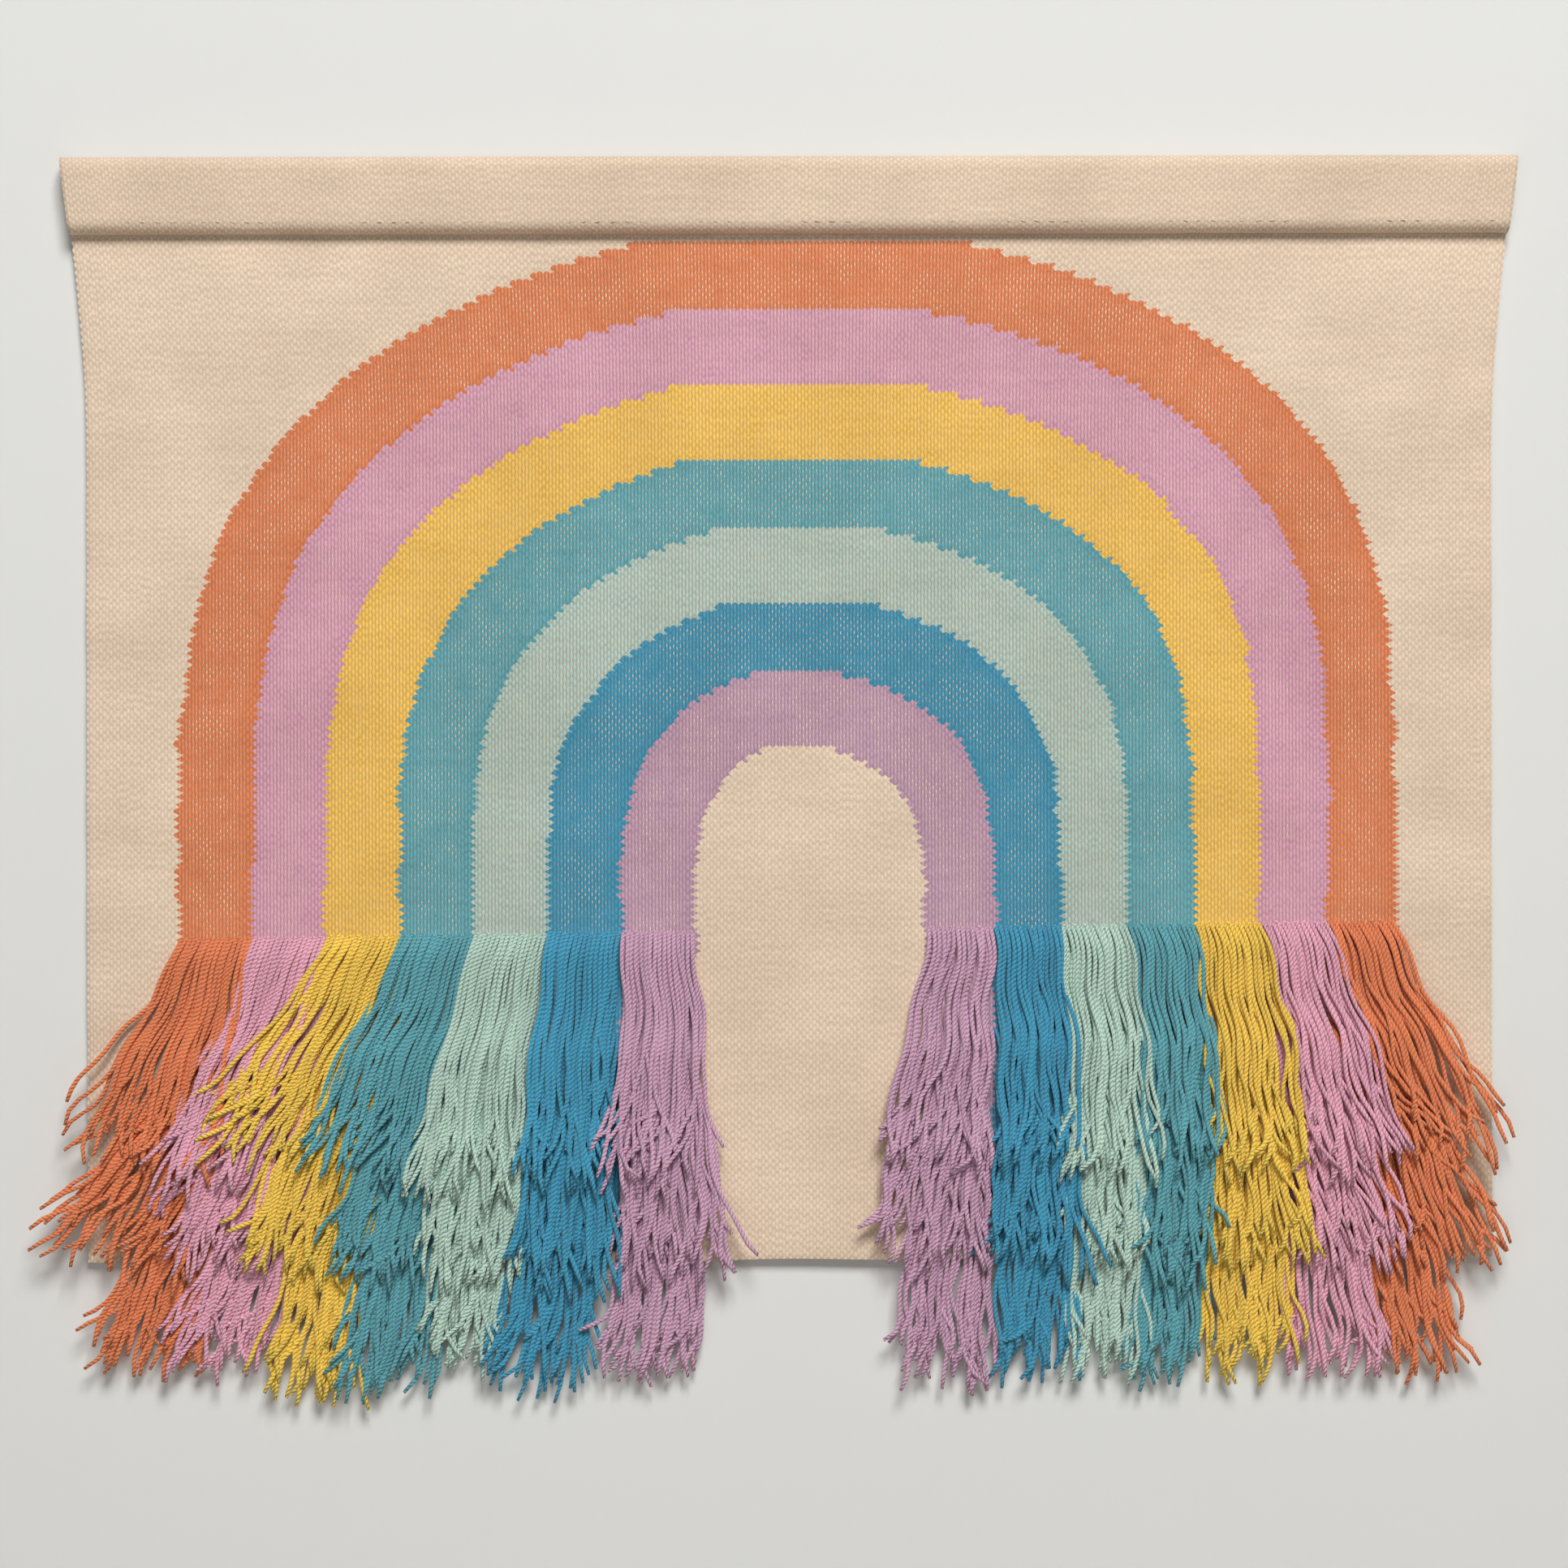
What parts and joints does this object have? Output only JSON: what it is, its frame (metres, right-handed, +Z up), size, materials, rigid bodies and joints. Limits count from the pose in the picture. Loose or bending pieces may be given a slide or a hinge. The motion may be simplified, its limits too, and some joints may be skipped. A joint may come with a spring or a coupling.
{
  "type": "tapestry wall hanging",
  "caption": "Woven wall hanging with nested coloured arches, a rod pocket with a flat batten, and tiered yarn fringes on the arch legs.",
  "frame": {"origin": "middle of the rod pocket's flat back face, where it lies on the wall", "axes": "+X to the right along the batten, +Y into the wall, +Z up; the front faces -Y"},
  "size_m": [0.9007, 0.0258, 0.763],
  "materials": {
    "pocket_cloth": "plain woven cotton and wool",
    "cream_weave": "weft-faced wool weave",
    "hem_weave": "turned wool edge",
    "stitch_thread": "cotton thread",
    "batten_wood": "planed, unvarnished",
    "terracotta_weave": "weft-faced wool weave",
    "pink_weave": "weft-faced wool weave",
    "yellow_weave": "weft-faced wool weave",
    "teal_weave": "weft-faced wool weave",
    "mint_weave": "weft-faced wool weave",
    "blue_weave": "weft-faced wool weave",
    "mauve_weave": "weft-faced wool weave",
    "terracotta_yarn": "plied wool yarn, frayed ends",
    "pink_yarn": "plied wool yarn, frayed ends",
    "yellow_yarn": "plied wool yarn, frayed ends",
    "teal_yarn": "plied wool yarn, frayed ends",
    "mint_yarn": "plied wool yarn, frayed ends",
    "blue_yarn": "plied wool yarn, frayed ends",
    "mauve_yarn": "plied wool yarn, frayed ends"
  },
  "bodies": {
    "header": {"rod_pocket": "pocket_cloth", "seam_stitching": "stitch_thread"},
    "batten": {"batten": "batten_wood"},
    "cloth": {"ground_cloth": "cream_weave", "arch_centre": "cream_weave", "bottom_hem": "hem_weave", "selvedge_left": "hem_weave", "selvedge_right": "hem_weave", "band_terracotta": "terracotta_weave", "band_pink": "pink_weave", "band_yellow": "yellow_weave", "band_teal": "teal_weave", "band_mint": "mint_weave", "band_blue": "blue_weave", "band_mauve": "mauve_weave"},
    "fringe_terracotta_left_top": {"fringe_terracotta_left_top": "terracotta_yarn"},
    "fringe_terracotta_left_middle": {"fringe_terracotta_left_middle": "terracotta_yarn"},
    "fringe_terracotta_left_lower": {"fringe_terracotta_left_lower": "terracotta_yarn"},
    "fringe_pink_left_top": {"fringe_pink_left_top": "pink_yarn"},
    "fringe_pink_left_middle": {"fringe_pink_left_middle": "pink_yarn"},
    "fringe_pink_left_lower": {"fringe_pink_left_lower": "pink_yarn"},
    "fringe_yellow_left_top": {"fringe_yellow_left_top": "yellow_yarn"},
    "fringe_yellow_left_middle": {"fringe_yellow_left_middle": "yellow_yarn"},
    "fringe_yellow_left_lower": {"fringe_yellow_left_lower": "yellow_yarn"},
    "fringe_teal_left_top": {"fringe_teal_left_top": "teal_yarn"},
    "fringe_teal_left_middle": {"fringe_teal_left_middle": "teal_yarn"},
    "fringe_teal_left_lower": {"fringe_teal_left_lower": "teal_yarn"},
    "fringe_mint_left_top": {"fringe_mint_left_top": "mint_yarn"},
    "fringe_mint_left_middle": {"fringe_mint_left_middle": "mint_yarn"},
    "fringe_mint_left_lower": {"fringe_mint_left_lower": "mint_yarn"},
    "fringe_blue_left_top": {"fringe_blue_left_top": "blue_yarn"},
    "fringe_blue_left_middle": {"fringe_blue_left_middle": "blue_yarn"},
    "fringe_blue_left_lower": {"fringe_blue_left_lower": "blue_yarn"},
    "fringe_mauve_left_top": {"fringe_mauve_left_top": "mauve_yarn"},
    "fringe_mauve_left_middle": {"fringe_mauve_left_middle": "mauve_yarn"},
    "fringe_mauve_left_lower": {"fringe_mauve_left_lower": "mauve_yarn"},
    "fringe_terracotta_right_top": {"fringe_terracotta_right_top": "terracotta_yarn"},
    "fringe_terracotta_right_middle": {"fringe_terracotta_right_middle": "terracotta_yarn"},
    "fringe_terracotta_right_lower": {"fringe_terracotta_right_lower": "terracotta_yarn"},
    "fringe_pink_right_top": {"fringe_pink_right_top": "pink_yarn"},
    "fringe_pink_right_middle": {"fringe_pink_right_middle": "pink_yarn"},
    "fringe_pink_right_lower": {"fringe_pink_right_lower": "pink_yarn"},
    "fringe_yellow_right_top": {"fringe_yellow_right_top": "yellow_yarn"},
    "fringe_yellow_right_middle": {"fringe_yellow_right_middle": "yellow_yarn"},
    "fringe_yellow_right_lower": {"fringe_yellow_right_lower": "yellow_yarn"},
    "fringe_teal_right_top": {"fringe_teal_right_top": "teal_yarn"},
    "fringe_teal_right_middle": {"fringe_teal_right_middle": "teal_yarn"},
    "fringe_teal_right_lower": {"fringe_teal_right_lower": "teal_yarn"},
    "fringe_mint_right_top": {"fringe_mint_right_top": "mint_yarn"},
    "fringe_mint_right_middle": {"fringe_mint_right_middle": "mint_yarn"},
    "fringe_mint_right_lower": {"fringe_mint_right_lower": "mint_yarn"},
    "fringe_blue_right_top": {"fringe_blue_right_top": "blue_yarn"},
    "fringe_blue_right_middle": {"fringe_blue_right_middle": "blue_yarn"},
    "fringe_blue_right_lower": {"fringe_blue_right_lower": "blue_yarn"},
    "fringe_mauve_right_top": {"fringe_mauve_right_top": "mauve_yarn"},
    "fringe_mauve_right_middle": {"fringe_mauve_right_middle": "mauve_yarn"},
    "fringe_mauve_right_lower": {"fringe_mauve_right_lower": "mauve_yarn"}
  },
  "joints": [
    {"name": "batten_slide", "type": "slide", "parent": "header", "child": "batten", "axis": [1, 0, 0], "range_m": [0, 0.9]},
    {"name": "cloth_swing", "type": "hinge", "parent": "header", "child": "cloth", "pos_m": [0, -0.0045, -0.0264], "axis": [-1, 0, 0], "range_deg": [0, 90]},
    {"name": "terracotta_left_top_swing", "type": "hinge", "parent": "cloth", "child": "fringe_terracotta_left_top", "pos_m": [-0.35475, -0.0081, -0.45901], "axis": [-1, 0, 0], "range_deg": [0, 60]},
    {"name": "terracotta_left_middle_swing", "type": "hinge", "parent": "cloth", "child": "fringe_terracotta_left_middle", "pos_m": [-0.35475, -0.0081, -0.52101], "axis": [-1, 0, 0], "range_deg": [0, 60]},
    {"name": "terracotta_left_lower_swing", "type": "hinge", "parent": "cloth", "child": "fringe_terracotta_left_lower", "pos_m": [-0.35475, -0.0081, -0.58301], "axis": [-1, 0, 0], "range_deg": [0, 60]},
    {"name": "pink_left_top_swing", "type": "hinge", "parent": "cloth", "child": "fringe_pink_left_top", "pos_m": [-0.30925, -0.0081, -0.45842], "axis": [-1, 0, 0], "range_deg": [0, 60]},
    {"name": "pink_left_middle_swing", "type": "hinge", "parent": "cloth", "child": "fringe_pink_left_middle", "pos_m": [-0.30925, -0.0081, -0.52042], "axis": [-1, 0, 0], "range_deg": [0, 60]},
    {"name": "pink_left_lower_swing", "type": "hinge", "parent": "cloth", "child": "fringe_pink_left_lower", "pos_m": [-0.30925, -0.0081, -0.58242], "axis": [-1, 0, 0], "range_deg": [0, 60]},
    {"name": "yellow_left_top_swing", "type": "hinge", "parent": "cloth", "child": "fringe_yellow_left_top", "pos_m": [-0.26375, -0.0081, -0.45783], "axis": [-1, 0, 0], "range_deg": [0, 60]},
    {"name": "yellow_left_middle_swing", "type": "hinge", "parent": "cloth", "child": "fringe_yellow_left_middle", "pos_m": [-0.26375, -0.0081, -0.51983], "axis": [-1, 0, 0], "range_deg": [0, 60]},
    {"name": "yellow_left_lower_swing", "type": "hinge", "parent": "cloth", "child": "fringe_yellow_left_lower", "pos_m": [-0.26375, -0.0081, -0.58183], "axis": [-1, 0, 0], "range_deg": [0, 60]},
    {"name": "teal_left_top_swing", "type": "hinge", "parent": "cloth", "child": "fringe_teal_left_top", "pos_m": [-0.21825, -0.0081, -0.45724], "axis": [-1, 0, 0], "range_deg": [0, 60]},
    {"name": "teal_left_middle_swing", "type": "hinge", "parent": "cloth", "child": "fringe_teal_left_middle", "pos_m": [-0.21825, -0.0081, -0.51924], "axis": [-1, 0, 0], "range_deg": [0, 60]},
    {"name": "teal_left_lower_swing", "type": "hinge", "parent": "cloth", "child": "fringe_teal_left_lower", "pos_m": [-0.21825, -0.0081, -0.58124], "axis": [-1, 0, 0], "range_deg": [0, 60]},
    {"name": "mint_left_top_swing", "type": "hinge", "parent": "cloth", "child": "fringe_mint_left_top", "pos_m": [-0.17275, -0.0081, -0.45665], "axis": [-1, 0, 0], "range_deg": [0, 60]},
    {"name": "mint_left_middle_swing", "type": "hinge", "parent": "cloth", "child": "fringe_mint_left_middle", "pos_m": [-0.17275, -0.0081, -0.51865], "axis": [-1, 0, 0], "range_deg": [0, 60]},
    {"name": "mint_left_lower_swing", "type": "hinge", "parent": "cloth", "child": "fringe_mint_left_lower", "pos_m": [-0.17275, -0.0081, -0.58065], "axis": [-1, 0, 0], "range_deg": [0, 60]},
    {"name": "blue_left_top_swing", "type": "hinge", "parent": "cloth", "child": "fringe_blue_left_top", "pos_m": [-0.12725, -0.0081, -0.45605], "axis": [-1, 0, 0], "range_deg": [0, 60]},
    {"name": "blue_left_middle_swing", "type": "hinge", "parent": "cloth", "child": "fringe_blue_left_middle", "pos_m": [-0.12725, -0.0081, -0.51805], "axis": [-1, 0, 0], "range_deg": [0, 60]},
    {"name": "blue_left_lower_swing", "type": "hinge", "parent": "cloth", "child": "fringe_blue_left_lower", "pos_m": [-0.12725, -0.0081, -0.58005], "axis": [-1, 0, 0], "range_deg": [0, 60]},
    {"name": "mauve_left_top_swing", "type": "hinge", "parent": "cloth", "child": "fringe_mauve_left_top", "pos_m": [-0.08175, -0.0081, -0.45546], "axis": [-1, 0, 0], "range_deg": [0, 60]},
    {"name": "mauve_left_middle_swing", "type": "hinge", "parent": "cloth", "child": "fringe_mauve_left_middle", "pos_m": [-0.08175, -0.0081, -0.51746], "axis": [-1, 0, 0], "range_deg": [0, 60]},
    {"name": "mauve_left_lower_swing", "type": "hinge", "parent": "cloth", "child": "fringe_mauve_left_lower", "pos_m": [-0.08175, -0.0081, -0.57946], "axis": [-1, 0, 0], "range_deg": [0, 60]},
    {"name": "terracotta_right_top_swing", "type": "hinge", "parent": "cloth", "child": "fringe_terracotta_right_top", "pos_m": [0.3533, -0.0081, -0.44981], "axis": [-1, 0, 0], "range_deg": [0, 60]},
    {"name": "terracotta_right_middle_swing", "type": "hinge", "parent": "cloth", "child": "fringe_terracotta_right_middle", "pos_m": [0.3533, -0.0081, -0.51181], "axis": [-1, 0, 0], "range_deg": [0, 60]},
    {"name": "terracotta_right_lower_swing", "type": "hinge", "parent": "cloth", "child": "fringe_terracotta_right_lower", "pos_m": [0.3533, -0.0081, -0.57381], "axis": [-1, 0, 0], "range_deg": [0, 60]},
    {"name": "pink_right_top_swing", "type": "hinge", "parent": "cloth", "child": "fringe_pink_right_top", "pos_m": [0.3119, -0.0081, -0.45035], "axis": [-1, 0, 0], "range_deg": [0, 60]},
    {"name": "pink_right_middle_swing", "type": "hinge", "parent": "cloth", "child": "fringe_pink_right_middle", "pos_m": [0.3119, -0.0081, -0.51235], "axis": [-1, 0, 0], "range_deg": [0, 60]},
    {"name": "pink_right_lower_swing", "type": "hinge", "parent": "cloth", "child": "fringe_pink_right_lower", "pos_m": [0.3119, -0.0081, -0.57435], "axis": [-1, 0, 0], "range_deg": [0, 60]},
    {"name": "yellow_right_top_swing", "type": "hinge", "parent": "cloth", "child": "fringe_yellow_right_top", "pos_m": [0.2705, -0.0081, -0.45088], "axis": [-1, 0, 0], "range_deg": [0, 60]},
    {"name": "yellow_right_middle_swing", "type": "hinge", "parent": "cloth", "child": "fringe_yellow_right_middle", "pos_m": [0.2705, -0.0081, -0.51288], "axis": [-1, 0, 0], "range_deg": [0, 60]},
    {"name": "yellow_right_lower_swing", "type": "hinge", "parent": "cloth", "child": "fringe_yellow_right_lower", "pos_m": [0.2705, -0.0081, -0.57488], "axis": [-1, 0, 0], "range_deg": [0, 60]},
    {"name": "teal_right_top_swing", "type": "hinge", "parent": "cloth", "child": "fringe_teal_right_top", "pos_m": [0.2291, -0.0081, -0.45142], "axis": [-1, 0, 0], "range_deg": [0, 60]},
    {"name": "teal_right_middle_swing", "type": "hinge", "parent": "cloth", "child": "fringe_teal_right_middle", "pos_m": [0.2291, -0.0081, -0.51342], "axis": [-1, 0, 0], "range_deg": [0, 60]},
    {"name": "teal_right_lower_swing", "type": "hinge", "parent": "cloth", "child": "fringe_teal_right_lower", "pos_m": [0.2291, -0.0081, -0.57542], "axis": [-1, 0, 0], "range_deg": [0, 60]},
    {"name": "mint_right_top_swing", "type": "hinge", "parent": "cloth", "child": "fringe_mint_right_top", "pos_m": [0.1877, -0.0081, -0.45196], "axis": [-1, 0, 0], "range_deg": [0, 60]},
    {"name": "mint_right_middle_swing", "type": "hinge", "parent": "cloth", "child": "fringe_mint_right_middle", "pos_m": [0.1877, -0.0081, -0.51396], "axis": [-1, 0, 0], "range_deg": [0, 60]},
    {"name": "mint_right_lower_swing", "type": "hinge", "parent": "cloth", "child": "fringe_mint_right_lower", "pos_m": [0.1877, -0.0081, -0.57596], "axis": [-1, 0, 0], "range_deg": [0, 60]},
    {"name": "blue_right_top_swing", "type": "hinge", "parent": "cloth", "child": "fringe_blue_right_top", "pos_m": [0.1463, -0.0081, -0.4525], "axis": [-1, 0, 0], "range_deg": [0, 60]},
    {"name": "blue_right_middle_swing", "type": "hinge", "parent": "cloth", "child": "fringe_blue_right_middle", "pos_m": [0.1463, -0.0081, -0.5145], "axis": [-1, 0, 0], "range_deg": [0, 60]},
    {"name": "blue_right_lower_swing", "type": "hinge", "parent": "cloth", "child": "fringe_blue_right_lower", "pos_m": [0.1463, -0.0081, -0.5765], "axis": [-1, 0, 0], "range_deg": [0, 60]},
    {"name": "mauve_right_top_swing", "type": "hinge", "parent": "cloth", "child": "fringe_mauve_right_top", "pos_m": [0.1049, -0.0081, -0.45304], "axis": [-1, 0, 0], "range_deg": [0, 60]},
    {"name": "mauve_right_middle_swing", "type": "hinge", "parent": "cloth", "child": "fringe_mauve_right_middle", "pos_m": [0.1049, -0.0081, -0.51504], "axis": [-1, 0, 0], "range_deg": [0, 60]},
    {"name": "mauve_right_lower_swing", "type": "hinge", "parent": "cloth", "child": "fringe_mauve_right_lower", "pos_m": [0.1049, -0.0081, -0.57704], "axis": [-1, 0, 0], "range_deg": [0, 60]}
  ],
  "couplings": [
    {"joint": "terracotta_left_middle_swing", "follows": "terracotta_left_top_swing", "ratio": 1},
    {"joint": "terracotta_left_lower_swing", "follows": "terracotta_left_top_swing", "ratio": 1},
    {"joint": "pink_left_middle_swing", "follows": "pink_left_top_swing", "ratio": 1},
    {"joint": "pink_left_lower_swing", "follows": "pink_left_top_swing", "ratio": 1},
    {"joint": "yellow_left_middle_swing", "follows": "yellow_left_top_swing", "ratio": 1},
    {"joint": "yellow_left_lower_swing", "follows": "yellow_left_top_swing", "ratio": 1},
    {"joint": "teal_left_middle_swing", "follows": "teal_left_top_swing", "ratio": 1},
    {"joint": "teal_left_lower_swing", "follows": "teal_left_top_swing", "ratio": 1},
    {"joint": "mint_left_middle_swing", "follows": "mint_left_top_swing", "ratio": 1},
    {"joint": "mint_left_lower_swing", "follows": "mint_left_top_swing", "ratio": 1},
    {"joint": "blue_left_middle_swing", "follows": "blue_left_top_swing", "ratio": 1},
    {"joint": "blue_left_lower_swing", "follows": "blue_left_top_swing", "ratio": 1},
    {"joint": "mauve_left_middle_swing", "follows": "mauve_left_top_swing", "ratio": 1},
    {"joint": "mauve_left_lower_swing", "follows": "mauve_left_top_swing", "ratio": 1},
    {"joint": "terracotta_right_middle_swing", "follows": "terracotta_right_top_swing", "ratio": 1},
    {"joint": "terracotta_right_lower_swing", "follows": "terracotta_right_top_swing", "ratio": 1},
    {"joint": "pink_right_middle_swing", "follows": "pink_right_top_swing", "ratio": 1},
    {"joint": "pink_right_lower_swing", "follows": "pink_right_top_swing", "ratio": 1},
    {"joint": "yellow_right_middle_swing", "follows": "yellow_right_top_swing", "ratio": 1},
    {"joint": "yellow_right_lower_swing", "follows": "yellow_right_top_swing", "ratio": 1},
    {"joint": "teal_right_middle_swing", "follows": "teal_right_top_swing", "ratio": 1},
    {"joint": "teal_right_lower_swing", "follows": "teal_right_top_swing", "ratio": 1},
    {"joint": "mint_right_middle_swing", "follows": "mint_right_top_swing", "ratio": 1},
    {"joint": "mint_right_lower_swing", "follows": "mint_right_top_swing", "ratio": 1},
    {"joint": "blue_right_middle_swing", "follows": "blue_right_top_swing", "ratio": 1},
    {"joint": "blue_right_lower_swing", "follows": "blue_right_top_swing", "ratio": 1},
    {"joint": "mauve_right_middle_swing", "follows": "mauve_right_top_swing", "ratio": 1},
    {"joint": "mauve_right_lower_swing", "follows": "mauve_right_top_swing", "ratio": 1}
  ]
}
